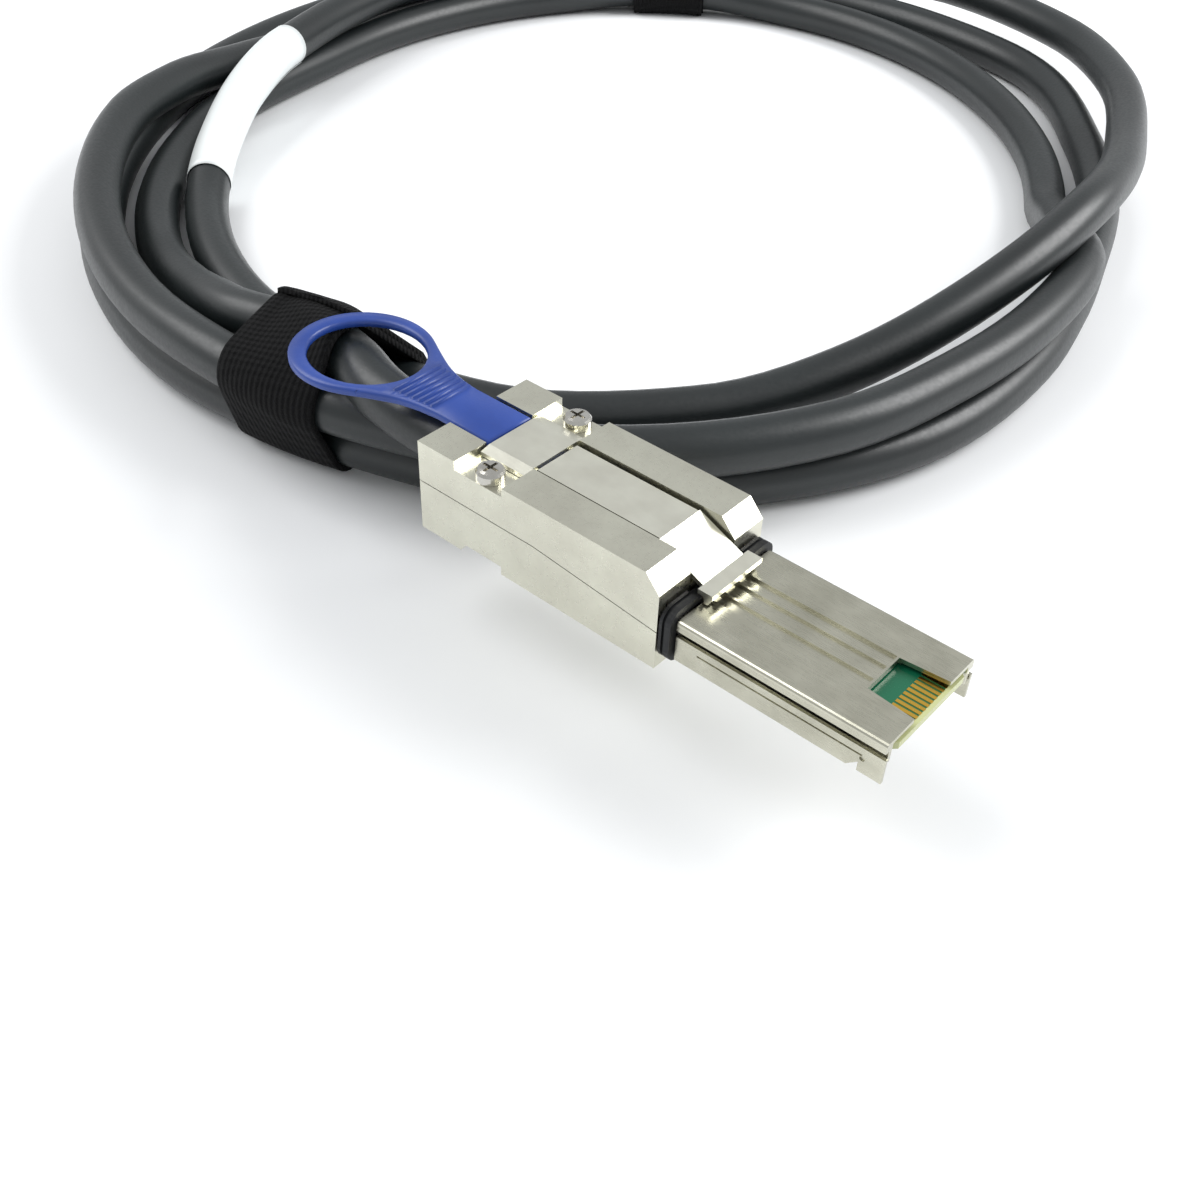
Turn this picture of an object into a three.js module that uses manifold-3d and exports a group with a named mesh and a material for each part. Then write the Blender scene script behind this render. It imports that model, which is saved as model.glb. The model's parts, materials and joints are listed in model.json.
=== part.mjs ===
// A shielded cable assembly with a latching plug on each end, wound into an oval coil.
// Millimetres, +Z up. Each plug is drawn in its own frame: +X towards the nose, Z 0 under the housing.
import * as THREE from 'three';
import Module from 'manifold-3d';
import { mergeVertices } from 'three/addons/utils/BufferGeometryUtils.js';

const wasm = await Module();
wasm.setup();

// Clearances
const SEAT = 0.3; // between pieces that only rest against each other
const PART = 0.12; // along the line where the two castings meet
const PAST = 1; // how far a cutting shape runs past what it cuts

// Die-cast housing
const HOUSING = { length: 39.6, half: 10, height: 13.67, wall: 1.3, roof: 1.1, floor: 1.2 };
const CHAMFER = { run: 2.2, drop: 2.4 };
const EAR_LENGTH = 6.5; // the two raised blocks at the back
const POCKET = { end: 14.7, floor: 12.4 }; // sunk seats for the screws
// The channel along the top is shallow over the cable and deeper under the lever.
const CHANNEL = {
  half: 4.26, rearFloor: 11.7, step: 8.3, floor: 10.3, bend: HOUSING.length - 6.6, frontFloor: 9.4,
};
const JOINT_LINE = { rear: 7.6, bend: 20, front: 5.6 }; // height of the line between the castings
const RECESS = { from: 8, to: 14.45, rise: 1.25, slope: 0.8 }; // step between the feet underneath

// Screws
const SCREW = { x: 10.95, y: 8.05, head: 1.9, headHeight: 1.65, shank: 1, tip: 3.2, slot: 0.42, slotDepth: 0.8 };
const BOSS_WALL = 1.1;
const SHANK_CLEARANCE = 0.15;

// Nose: a folded shell over a tray, open in front below the board
const FRONT = HOUSING.length; // the nose and its parts are placed from the housing's front face
const NOSE = { start: FRONT + 2.25, end: FRONT + 30.5, half: 9.18, top: 8.3, bottom: 2.4, sheet: 0.6, corner: 0.6 };
const ROOT = { start: FRONT - 4.6, half: 8.4, top: 7.9, bottom: 3, sheet: 0.5 }; // narrower neck in the housing
const SHELL_EDGE = 6.9; // lower edge of the folded sides
const LAP = { half: 8.5, sheet: 0.6, bottom: 5 }; // inner strip of the shell's sides
const TRAY = { top: 6, sheet: 0.43, floor: 0.6, floorEnd: FRONT + 26.2 };
const LEG = { start: FRONT + 27.6, end: FRONT + 30.7, notchTop: 3.7 };
const SIDE_SLOT = {
  z: 4.9, height: 0.26, depth: 0.2, start: FRONT + 5.4, end: FRONT + 28, drop: 0.45, eye: 0.36,
};
const TROUGH = { half: 3.35, floor: 7.9, sheet: 0.45, end: FRONT + 23.9, ridge: 1.35, ridgeWidth: 0.34 };
const MOUTH = { start: FRONT + 24.2, rearHalf: 3.3, frontHalf: 3.95 };

// Board with contact strips
const BOARD = { start: FRONT - 8.6, end: FRONT + 30.7, half: 7.6, top: 7.15, thick: 1, corner: 0.8 };
const PAD = { count: 13, pitch: 0.8, width: 0.5, length: 3.2, inset: 0.5, height: 0.05 };

// Rubber gasket around the root of the nose
const GASKET = {
  start: FRONT + SEAT, end: FRONT + 1.95, half: 10.05, top: 9.4, bottom: 1.7, corner: 1.9, bead: 0.85, sink: 0.35,
};
const GASKET_RELIEF = { half: 5.2, top: 8.85 }; // lowered under the latch

// Latch: a bracket on the housing, and a lever that lifts its hooks
const BRACKET = { start: 6.8, end: 14.4, half: 3.98, top: 13.45, sheet: 0.6, wing: 1.6, wingDrop: 0.7 };
const LEVER = {
  start: 14.8, top: 13.24, sheet: 0.7, half: 3.67, slopeFrom: FRONT - 5.2, slopeTo: FRONT + 1.64,
  lipTop: 10.26, slopeHalf: 3.9, lipEnd: FRONT + 3.8, lipHalf: 4.87,
};
const ARM = { start: 8.9, end: 15.4, inner: 2.88, bottom: 12.3, top: 12.7 }; // tails under the bracket
const PIVOT = { x: 16, z: 11, radius: 0.5, clearance: 0.08, half: 5.2, ear: 1, earInner: 2.9, earOuter: 3.6 };
const RIB = { from: 20, to: 20.8, half: 1.35, bottom: 11.95 }; // rides up the tongue's ramp
const LEAF = { start: 9.4, bend: 11.3, end: 14.4, low: 10.4, high: 11.75, sheet: 0.25, inner: 2.9, outer: 3.9 };
const HOOK = { from: FRONT + 2.4, width: 0.9, bottom: 8.62, rise: 0.3, flat: 0.8 };

// Pull tab: strap, ring and the tongue that slides under the latch
const TAB = { top: 13.67, thick: 1.3, half: 3.9, front: 6.5, neck: -3, bevel: 0.3 };
const TAB_RING = { x: -21.6, long: 10.4, wide: 10, holeX: -20.7, holeLong: 8.8, holeWide: 7.9 };
const TAB_NECK = [[-6, 4.5], [-10, 6.3], [-14, 8.35]];
const TONGUE = { half: 2.6, bottom: 11.85, top: 12.35, start: 3.6, end: 25.2 };
const RAMP_LAP = 0.1;
const RAMP = { window: 19.7, start: 21, end: 24.3, top: 12.45, half: 1.65 };
const RIDGES = { count: 7, first: -10.6, pitch: 1.05, width: 0.5, height: 0.28, half: 4.2 };

// Cable and what holds it in the housing
const CABLE = { radius: 4.1, z: 6.8, sides: 10, enters: 1 };
const CLAMP = { start: 2.1, end: 6.2, half: 5.6, bottom: 2.8, top: 10.2, corner: 1.2 };
// The cores leave the jacket as a round bundle and spread flat towards the board.
const CORES = { start: 1.4, radius: 3.3, sides: 16 };
// x, half width, half thickness, height
const FAN = [[6.3, 3.2, 3.2, 6.8], [8.2, 4, 2.2, 6.2], [20, 6, 1.8, 6.5], [FRONT - 8.9, 7, 1.1, 6.6]];

const CLAMP_GRIP = 0.1;

// Coil: an oval of lanes one cable apart, and the clockwise route through them
const LIFT = 12; // height at which the stiff cable holds the near plug
const OVAL = { x: -68.7, y: 117.1, long: 103.6, wide: 85.3, tilt: 116.3 };
const LANE = 9.5;
const REST = 0.1;
const STRAP = { near: 75.5, far: 235, width: 18, thick: 0.8, gap: 0.31, ease: 13, spread: 6, clear: 0.2 };
// degrees clockwise, lane outwards, level upwards
const TURNS = [
  [86, 1.12, 1], [96, 1, 0.55], [112, 1, 0], [140, 0.75, 0], [175, 0, 0], [235, 0, 0], [300, 0, 0], [332, 0, 0],
  [345, 0.35, 0.5], [358, 1.2, 0.97], [370, 1.42, 1], [384, 1.7, 1], [396, 2.08, 1], [412, 2.24, 1], [430, 2.26, 1],
  [450, 2.12, 1], [475, 1.98, 1], [492, 1.85, 1], [505, 1.5, 0.85], [520, 1.12, 0.4], [535, 1, 0.05], [550, 1, 0],
  [595, 1.1, 0], [635, 1.7, 0], [649, 1.95, 0], [672, 1.33, 0], [692, 1.12, 0], [706, 1, 0], [719, 1.17, 0],
  [730, 1.47, 0], [751, 1.93, 0], [775, 1.85, 0], [790, 1.85, 0], [810, 2, 0], [880, 2.1, 0], [930, 2.05, 0],
  [957, 2.1, 0], [973, 2.5, 0.3], [990, 3.05, 0.8], [1008, 3, 0.9], [1024, 2.45, 1.05], [1045, 1.5, 1.3],
  [1062, 1.1, 1.7], [1073, 0.9, 1.9], [1084, 0.62, 1.6], [1096, 0.28, 1.05], [1110, 0, 0.4], [1124, -0.12, 0],
  [1146, 0.1, 0], [1170, 0, 0], [1195, 0, 0], [1212, -0.05, 0.35], [1226, -0.1, 0.8], [1240, -0.1, 1.02],
  [1258, 0.1, 1.02], [1275, 0.45, 0.97],
];
const LABEL = { from: 1203, to: 1241, sheet: 0.35, margin: 0.15 };
// the stretch that leaves the near plug, and the one that runs out to the far plug
const LEAD = [[1, 0, 18.8], [-5, 0, 18.8], [-12, 0, 19], [-20, 1, 19.2], [-28, 3.6, 19.1],
  [-38, 6.2, 17.7], [-49, 7.2, 15]];
const TAIL = [
  [-157, 166, 12.6], [-141, 196, 13.2], [-127, 222, 14.6], [-113, 247, 13.4], [-104, 263.5, 9.8],
  [-97.6, 276.3, 7.1], [-90, 291.4, 6.8], [-82.05, 307.4, 6.8],
];
const FAR_PLUG = { x: -82.5, y: 306.5, turn: 63.5 }; // centre of the rear face, and the way its nose points
const STRAP_SAMPLES = 120;
const STRAP_SIDES = 28;
const TUBE_STEP = 17;
const COIL_STEP = 6; // degrees
const HULL_POINTS = 16;

const METAL = { color: '#b9b5a8', metalness: 0.9, roughness: 0.38 };
const SHEET = { color: '#a8a39a', metalness: 0.9, roughness: 0.34 };
const RUBBER = { color: '#17181a', metalness: 0, roughness: 0.7 };
const BLUE = { color: '#2f4fae', metalness: 0, roughness: 0.45 };
const GREEN = { color: '#0f6b45', metalness: 0, roughness: 0.35 };
const JACKET = { color: '#232627', metalness: 0, roughness: 0.6 };
const WEBBING = { color: '#0e0e0f', metalness: 0, roughness: 0.95 };
const PAPER = { color: '#e6eae9', metalness: 0, roughness: 0.5 };
const WIRE = { color: '#8d9296', metalness: 0.4, roughness: 0.5 };

// Basic shapes

/** Extrudes [x, z] points across the width, from y0 to y1. */
function across(points, y0, y1) {
  const geometry = new THREE.ExtrudeGeometry(outline(points), { depth: y1 - y0, bevelEnabled: false });
  return geometry.rotateX(Math.PI / 2).translate(0, y1, 0);
}

/** Extrudes [y, z] points along the length, from x0 to x1. */
function along(points, x0, x1) {
  const geometry = new THREE.ExtrudeGeometry(outline(points), { depth: x1 - x0, bevelEnabled: false });
  const turn = new THREE.Matrix4().makeBasis(
    new THREE.Vector3(0, 1, 0), new THREE.Vector3(0, 0, 1), new THREE.Vector3(1, 0, 0));
  return geometry.applyMatrix4(turn).translate(x0, 0, 0);
}

function outline(points) {
  return new THREE.Shape(points.map(([a, b]) => new THREE.Vector2(a, b)));
}

function box(x0, x1, y0, y1, z0, z1) {
  return new THREE.BoxGeometry(x1 - x0, y1 - y0, z1 - z0).translate((x0 + x1) / 2, (y0 + y1) / 2, (z0 + z1) / 2);
}

function post(x, y, radius, z0, z1, sides = 20) {
  return new THREE.CylinderGeometry(radius, radius, z1 - z0, sides)
    .rotateX(Math.PI / 2).translate(x, y, (z0 + z1) / 2);
}

function rod(y, z, radius, x0, x1, sides = 28) {
  return new THREE.CylinderGeometry(radius, radius, x1 - x0, sides)
    .rotateZ(Math.PI / 2).translate((x0 + x1) / 2, y, z);
}

/** A half outline in [y, z], closed by its mirror image. */
function mirrored(half) {
  return [...half, ...half.slice().reverse().map(([y, z]) => [-y, z])];
}

function corner(cy, cz, radius, from, to, steps) {
  return Array.from({ length: steps + 1 }, (_, i) => {
    const a = THREE.MathUtils.degToRad(from + (to - from) * i / steps);
    return [cy + radius * Math.cos(a), cz + radius * Math.sin(a)];
  });
}

/** A rectangle in [y, z] with round corners. */
function roundRect(half, bottom, top, radius, steps = 5) {
  return [
    ...corner(half - radius, bottom + radius, radius, -90, 0, steps),
    ...corner(half - radius, top - radius, radius, 0, 90, steps),
    ...corner(-half + radius, top - radius, radius, 90, 180, steps),
    ...corner(-half + radius, bottom + radius, radius, 180, 270, steps),
  ];
}

// Booleans

function solid(geometry) {
  const bare = geometry.clone();
  bare.deleteAttribute('normal');
  bare.deleteAttribute('uv');
  const merged = mergeVertices(bare, 1e-4);
  return new wasm.Manifold(new wasm.Mesh({
    numProp: 3,
    vertProperties: new Float32Array(merged.attributes.position.array),
    triVerts: new Uint32Array(merged.index.array),
  }));
}

function surface(body) {
  const mesh = body.getMesh();
  const geometry = new THREE.BufferGeometry();
  geometry.setAttribute('position', new THREE.BufferAttribute(new Float32Array(mesh.vertProperties), 3));
  geometry.setIndex(new THREE.BufferAttribute(new Uint32Array(mesh.triVerts), 1));
  geometry.computeVertexNormals();
  return geometry;
}

function join(...shapes) {
  return surface(shapes.map(solid).reduce((sum, next) => sum.add(next)));
}

function cut(shape, ...tools) {
  return surface(tools.map(solid).reduce((rest, tool) => rest.subtract(tool), solid(shape)));
}

const bothSides = (make) => [make(1), make(-1)];

function piece(name, geometry, finish) {
  const mesh = new THREE.Mesh(geometry, new THREE.MeshStandardMaterial(finish));
  mesh.name = name;
  return mesh;
}

// Housing

/** The joint between the castings, as [x, z] points from the back to the front. */
function jointLine(offset) {
  return [
    [-PAST, JOINT_LINE.rear + offset], [JOINT_LINE.bend, JOINT_LINE.rear + offset],
    [HOUSING.length + PAST, JOINT_LINE.front + offset],
  ];
}

function housingBlock() {
  const { length, height, half } = HOUSING;
  const side = [
    [0, 0], [RECESS.from - RECESS.slope, 0], [RECESS.from, RECESS.rise], [RECESS.to, RECESS.rise], [RECESS.to, 0],
    [length, 0], [length, height - CHAMFER.drop], [length - CHAMFER.run, height], [0, height],
  ];
  return across(side, -half, half);
}

function channelCut() {
  const top = HOUSING.height + PAST;
  const side = [
    [-PAST, CHANNEL.rearFloor], [CHANNEL.step, CHANNEL.rearFloor], [CHANNEL.step, CHANNEL.floor],
    [CHANNEL.bend, CHANNEL.floor], [HOUSING.length, CHANNEL.frontFloor],
    [HOUSING.length + PAST, CHANNEL.frontFloor], [HOUSING.length + PAST, top], [-PAST, top],
  ];
  return across(side, -CHANNEL.half, CHANNEL.half);
}

/** The hollow inside the housing, less the screw posts. */
function cavity() {
  const low = RECESS.rise + HOUSING.floor;
  const front = HOUSING.length - HOUSING.wall;
  const roof = HOUSING.roof;
  const side = [
    [HOUSING.wall, low], [front, low], [front, CHANNEL.frontFloor - roof], [CHANNEL.bend, CHANNEL.floor - roof],
    [CHANNEL.step - roof / 2, CHANNEL.floor - roof], [CHANNEL.step - roof / 2, CHANNEL.rearFloor - roof],
    [HOUSING.wall, CHANNEL.rearFloor - roof],
  ];
  const room = across(side, -HOUSING.half + HOUSING.wall, HOUSING.half - HOUSING.wall);
  const boss = SCREW.shank + SHANK_CLEARANCE + BOSS_WALL;
  return cut(room, ...bothSides((s) => post(SCREW.x, s * SCREW.y, boss, 0, HOUSING.height)));
}

function screwHoles() {
  const radius = SCREW.shank + SHANK_CLEARANCE;
  return bothSides((s) => post(SCREW.x, s * SCREW.y, radius, SCREW.tip - SEAT, HOUSING.height + PAST));
}

function noseOpening() {
  return box(HOUSING.length - HOUSING.wall - PAST, HOUSING.length + PAST, -ROOT.half - SEAT, ROOT.half + SEAT,
    ROOT.bottom - SEAT, ROOT.top + SEAT);
}

function cableEntry() {
  return rod(0, CABLE.z, CABLE.radius + SEAT, -PAST, HOUSING.wall + PAST);
}

/** A rod across the plug on the lever's pivot. */
function crossRod(radius, half) {
  return new THREE.CylinderGeometry(radius, radius, 2 * half, 16).translate(PIVOT.x, 0, PIVOT.z);
}

function upperHousing() {
  const below = across([...jointLine(PART / 2), [HOUSING.length + PAST, -PAST], [-PAST, -PAST]].reverse(),
    -HOUSING.half - PAST, HOUSING.half + PAST);
  const pockets = bothSides((s) => box(EAR_LENGTH, POCKET.end, Math.min(s * CHANNEL.half, s * 2 * HOUSING.half),
    Math.max(s * CHANNEL.half, s * 2 * HOUSING.half), POCKET.floor, HOUSING.height + PAST));
  const pinHole = crossRod(PIVOT.radius + PIVOT.clearance, PIVOT.half + PIVOT.clearance);
  return cut(housingBlock(), below, channelCut(), ...pockets, cavity(), ...screwHoles(), noseOpening(),
    cableEntry(), pinHole);
}

function lowerHousing() {
  const top = HOUSING.height + PAST;
  const above = across([...jointLine(-PART / 2), [HOUSING.length + PAST, top], [-PAST, top]],
    -HOUSING.half - PAST, HOUSING.half + PAST);
  return cut(housingBlock(), above, cavity(), ...screwHoles(), noseOpening(), cableEntry());
}

function screw(side) {
  const top = POCKET.floor + SCREW.headHeight;
  const profile = [
    [0, SCREW.tip], [SCREW.shank * 0.6, SCREW.tip], [SCREW.shank, SCREW.tip + 0.6], [SCREW.shank, POCKET.floor + 0.02],
    [SCREW.head, POCKET.floor + 0.02], [SCREW.head, top - 0.55], [SCREW.head * 0.86, top - 0.15],
    [SCREW.head * 0.6, top], [0, top],
  ].map(([r, z]) => new THREE.Vector2(r, z));
  const body = new THREE.LatheGeometry(profile, 24).rotateX(Math.PI / 2);
  const arm = SCREW.head * 0.62;
  const wide = SCREW.slot / 2;
  const recess = [
    box(-arm, arm, -wide, wide, top - SCREW.slotDepth, top + PAST),
    box(-wide, wide, -arm, arm, top - SCREW.slotDepth, top + PAST),
  ];
  return cut(body, ...recess).translate(SCREW.x, side * SCREW.y, 0);
}

// Nose

function noseShell() {
  const { half, top, sheet, corner: radius, start, end } = NOSE;
  const inner = LAP.half - LAP.sheet;
  const skin = along(mirrored([
    [inner, top - sheet], [inner, LAP.bottom], [LAP.half, LAP.bottom], [LAP.half, SHELL_EDGE], [half, SHELL_EDGE],
    ...corner(half - radius, top - radius, radius, 0, 90, 4),
  ]).reverse(), start, end);
  const neck = along(mirrored([
    [ROOT.half - ROOT.sheet, ROOT.top - ROOT.sheet], [ROOT.half - ROOT.sheet, LAP.bottom],
    [ROOT.half, LAP.bottom], [ROOT.half, ROOT.top],
  ]).reverse(), ROOT.start, start + sheet);
  const sunk = box(start + sheet, TROUGH.end, -TROUGH.half, TROUGH.half, TROUGH.floor, top + PAST);
  const mouth = new THREE.ExtrudeGeometry(outline([
    [MOUTH.start, -MOUTH.rearHalf], [end + PAST, -MOUTH.frontHalf], [end + PAST, MOUTH.frontHalf],
    [MOUTH.start, MOUTH.rearHalf],
  ]), { depth: top, bevelEnabled: false }).translate(0, 0, TROUGH.floor - TROUGH.sheet - PAST);
  const pan = box(start + sheet / 2, TROUGH.end + sheet, -TROUGH.half - sheet, TROUGH.half + sheet,
    TROUGH.floor - TROUGH.sheet, TROUGH.floor + sheet / 2);
  const ridges = bothSides((s) => box(start + sheet / 2, TROUGH.end + sheet / 2,
    s * TROUGH.ridge - TROUGH.ridgeWidth / 2, s * TROUGH.ridge + TROUGH.ridgeWidth / 2,
    TROUGH.floor - TROUGH.sheet / 2, top - PAD.height));
  return join(cut(join(skin, neck, pan), sunk, mouth), ...ridges);
}

function noseTray() {
  const { half, bottom, start } = NOSE;
  const floorTop = bottom + TRAY.floor;
  const wall = (s) => {
    const side = [
      [start, bottom], [TRAY.floorEnd, bottom], [LEG.start, LEG.notchTop], [LEG.start, bottom], [LEG.end, bottom],
      [LEG.end, TRAY.top], [start, TRAY.top],
    ];
    return across(side, Math.min(s * half, s * (half - TRAY.sheet)), Math.max(s * half, s * (half - TRAY.sheet)));
  };
  const plate = box(start, TRAY.floorEnd, -half + TRAY.sheet / 2, half - TRAY.sheet / 2, bottom, floorTop);
  const neck = along(mirrored([
    [ROOT.half, ROOT.bottom], [ROOT.half, LAP.bottom - SEAT], [ROOT.half - ROOT.sheet, LAP.bottom - SEAT],
    [ROOT.half - ROOT.sheet, ROOT.bottom + ROOT.sheet],
  ]).reverse(), ROOT.start, start + TRAY.floor);
  const collar = box(start, start + TRAY.floor, -half + TRAY.sheet / 2, half - TRAY.sheet / 2, bottom,
    ROOT.bottom + ROOT.sheet);
  const slots = bothSides((s) => box(SIDE_SLOT.start, SIDE_SLOT.end,
    s * half - SIDE_SLOT.depth, s * half + SIDE_SLOT.depth,
    SIDE_SLOT.z - SIDE_SLOT.height / 2, SIDE_SLOT.z + SIDE_SLOT.height / 2));
  const eyes = bothSides((s) => new THREE.CylinderGeometry(SIDE_SLOT.eye, SIDE_SLOT.eye, 2 * SIDE_SLOT.depth, 12)
    .translate(SIDE_SLOT.end, s * half, SIDE_SLOT.z - SIDE_SLOT.drop));
  return cut(join(wall(1), wall(-1), plate, neck, collar), ...slots, ...eyes);
}

function paddleBoard() {
  const { start, end, half, top, thick, corner: c } = BOARD;
  const plan = outline([
    [start, -half], [end - c, -half], [end, -half + c], [end, half - c], [end - c, half], [start, half],
  ]);
  const core = new THREE.ExtrudeGeometry(plan, { depth: thick, bevelEnabled: false }).translate(0, 0, top - thick);
  const pads = [];
  for (let i = 0; i < PAD.count; i += 1) {
    const y = (i - (PAD.count - 1) / 2) * PAD.pitch;
    const x1 = end - PAD.inset;
    const edges = [x1 - PAD.length, x1, y - PAD.width / 2, y + PAD.width / 2];
    pads.push(box(...edges, top - PAD.height, top + PAD.height));
    pads.push(box(...edges, top - thick - PAD.height, top - thick + PAD.height));
  }
  return join(core, ...pads);
}

function gasket() {
  const { start, end, half, top, bottom, corner: radius, bead, sink } = GASKET;
  const lip = along(roundRect(half, bottom, top, radius), end - bead, end);
  const heel = along(roundRect(half, bottom, top, radius), start, start + bead / 2);
  const web = along(roundRect(half - sink, bottom + sink, top - sink, radius - sink), start, end);
  const hole = along(roundRect(ROOT.half + SEAT, ROOT.bottom - SEAT, ROOT.top + SEAT, sink), start - PAST, end + PAST);
  const relief = box(start - PAST, end + PAST, -GASKET_RELIEF.half, GASKET_RELIEF.half, GASKET_RELIEF.top,
    top + PAST);
  return cut(join(web, lip, heel), hole, relief);
}

// Latch

function latchBracket() {
  const { half, top, sheet, wing, wingDrop, start, end } = BRACKET;
  const section = mirrored([
    [half, top - sheet], [half + wing, top - sheet - wingDrop + 0.35], [half + wing, top - wingDrop + 0.35],
    [half, top],
  ]);
  return along(section.reverse(), start, end);
}

/** Top line of the lever, as [x, z] points. */
function leverLine() {
  return [
    [LEVER.start, LEVER.top], [LEVER.slopeFrom, LEVER.top], [LEVER.slopeTo, LEVER.lipTop],
    [LEVER.lipEnd, LEVER.lipTop],
  ];
}

function strip(line, half, sheet) {
  const under = line.slice().reverse().map(([x, z]) => [x, z - sheet]);
  return across([...line, ...under].reverse(), -half, half);
}

/** A box on one side of the plug's middle, from inner to outer. */
function sideBox(side, x0, x1, inner, outer, z0, z1) {
  return box(x0, x1, Math.min(side * inner, side * outer), Math.max(side * inner, side * outer), z0, z1);
}

function latchLever() {
  const line = leverLine();
  const under = LEVER.top - LEVER.sheet;
  const panel = strip(line.slice(0, 3), LEVER.half, LEVER.sheet);
  const slope = strip(line.slice(1, 3), LEVER.slopeHalf, LEVER.sheet);
  const lip = strip(line.slice(2), LEVER.lipHalf, LEVER.sheet);
  const arms = bothSides((s) => sideBox(s, ARM.start, ARM.end, ARM.inner, LEVER.half, ARM.bottom, ARM.top));
  const ears = bothSides((s) => sideBox(s, PIVOT.x - PIVOT.ear, PIVOT.x + PIVOT.ear, PIVOT.earInner,
    PIVOT.earOuter, PIVOT.z - PIVOT.radius, under + LEVER.sheet / 2));
  const rib = box(RIB.from, RIB.to, -RIB.half, RIB.half, RIB.bottom, under + LEVER.sheet / 2);
  const hooks = bothSides((s) => {
    const inner = s * (LEVER.lipHalf - HOOK.width);
    const outer = s * LEVER.lipHalf;
    return across([
      [HOOK.from, LEVER.lipTop - LEVER.sheet / 2], [HOOK.from + HOOK.rise, HOOK.bottom],
      [HOOK.from + HOOK.flat, HOOK.bottom], [LEVER.lipEnd - 0.05, LEVER.lipTop - LEVER.sheet / 2],
    ], Math.min(inner, outer), Math.max(inner, outer));
  });
  return cut(join(panel, slope, lip, ...arms, ...ears, rib, ...hooks),
    crossRod(PIVOT.radius + PIVOT.clearance, LEVER.half + PAST));
}

function leverPin() {
  return crossRod(PIVOT.radius, PIVOT.half);
}

/** A leaf that lies in the channel and bears up on the lever's two tails. */
function latchSpring() {
  const { start, bend, end, low, high, sheet, inner, outer } = LEAF;
  const base = box(bend, end, -outer, outer, low, low + sheet);
  const arms = bothSides((s) => across([
    [end, low], [end, low + sheet], [bend, low + sheet], [start, high], [start, high - sheet], [bend, low],
  ], Math.min(s * inner, s * outer), Math.max(s * inner, s * outer)));
  return join(base, ...arms);
}

function pullTab() {
  const { top, thick, half, front, neck, bevel } = TAB;
  const shape = new THREE.Shape();
  const upper = TAB_NECK.map(([x, y]) => new THREE.Vector2(x + bevel * 0, y - bevel));
  const lower = upper.slice().reverse().map((p) => new THREE.Vector2(p.x, -p.y));
  const last = TAB_NECK[TAB_NECK.length - 1];
  const a = Math.acos((last[0] - TAB_RING.x) / TAB_RING.long);
  shape.moveTo(front - bevel, -half + bevel);
  shape.lineTo(front - bevel, half - bevel);
  shape.lineTo(neck, half - bevel);
  shape.splineThru(upper);
  shape.absellipse(TAB_RING.x, 0, TAB_RING.long - bevel, TAB_RING.wide - bevel, a, 2 * Math.PI - a, false, 0);
  shape.splineThru(lower);
  shape.lineTo(neck, -half + bevel);
  const hole = new THREE.Path();
  hole.absellipse(TAB_RING.holeX, 0, TAB_RING.holeLong + bevel, TAB_RING.holeWide + bevel, 0, 2 * Math.PI, true, 0);
  shape.holes.push(hole);
  const plate = new THREE.ExtrudeGeometry(shape, {
    depth: thick - 2 * bevel, bevelThickness: bevel, bevelSize: bevel, bevelSegments: 1, curveSegments: 20,
  }).translate(0, 0, top - thick + bevel);
  const drop = box(TONGUE.start, front - bevel, -TONGUE.half, TONGUE.half, TONGUE.bottom, top - thick / 2);
  const blade = box(TONGUE.start, TONGUE.end, -TONGUE.half, TONGUE.half, TONGUE.bottom, TONGUE.top);
  const window = box(RAMP.window, RAMP.end, -RAMP.half, RAMP.half, TONGUE.bottom - PAST, TONGUE.top + PAST);
  const ramp = across([
    [RAMP.start, TONGUE.bottom], [TONGUE.end, TONGUE.bottom], [TONGUE.end, RAMP.top], [RAMP.end, RAMP.top],
  ], -RAMP.half - RAMP_LAP, RAMP.half + RAMP_LAP);
  const tongue = join(cut(blade, window), ramp);
  const ridges = Array.from({ length: RIDGES.count }, (_, i) => {
    const x = RIDGES.first + i * RIDGES.pitch;
    return box(x - RIDGES.width / 2, x + RIDGES.width / 2, -RIDGES.half + 0.12 * i, RIDGES.half - 0.12 * i,
      top - RIDGES.height, top + RIDGES.height);
  });
  return join(plate, drop, tongue, ...ridges);
}

// Cable end inside the housing

function cableClamp() {
  const { start, end, half, bottom, top, corner: radius } = CLAMP;
  const block = along(roundRect(half, bottom, top, radius, 4), start, end);
  return cut(block, rod(0, CABLE.z, CORES.radius + CLAMP_GRIP, start - PAST, end + PAST));
}

/** Closed skin over rings of points that all have the same count; each ring is one section. */
function loft(rings, closed = false) {
  const n = rings[0].length;
  const points = rings.flat();
  const index = [];
  const last = closed ? rings.length : rings.length - 1;
  for (let i = 0; i < last; i += 1) {
    const a = i * n;
    const b = ((i + 1) % rings.length) * n;
    for (let j = 0; j < n; j += 1) {
      const k = (j + 1) % n;
      index.push(a + j, b + j, b + k, a + j, b + k, a + k);
    }
  }
  if (!closed) {
    const end = (rings.length - 1) * n;
    for (let j = 1; j < n - 1; j += 1) {
      index.push(0, j, j + 1);
      index.push(end, end + j + 1, end + j);
    }
  }
  const geometry = new THREE.BufferGeometry();
  geometry.setAttribute('position', new THREE.Float32BufferAttribute(points.flatMap((p) => p.toArray()), 3));
  geometry.setIndex(index);
  if (signedVolume(geometry) < 0) {
    geometry.setIndex(index.slice().reverse());
  }
  geometry.computeVertexNormals();
  return geometry;
}

function signedVolume(geometry) {
  const p = geometry.attributes.position;
  const ids = geometry.index.array;
  let sum = 0;
  const [a, b, c] = [new THREE.Vector3(), new THREE.Vector3(), new THREE.Vector3()];
  for (let i = 0; i < ids.length; i += 3) {
    a.fromBufferAttribute(p, ids[i]);
    b.fromBufferAttribute(p, ids[i + 1]);
    c.fromBufferAttribute(p, ids[i + 2]);
    sum += a.dot(b.cross(c));
  }
  return sum;
}

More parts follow.
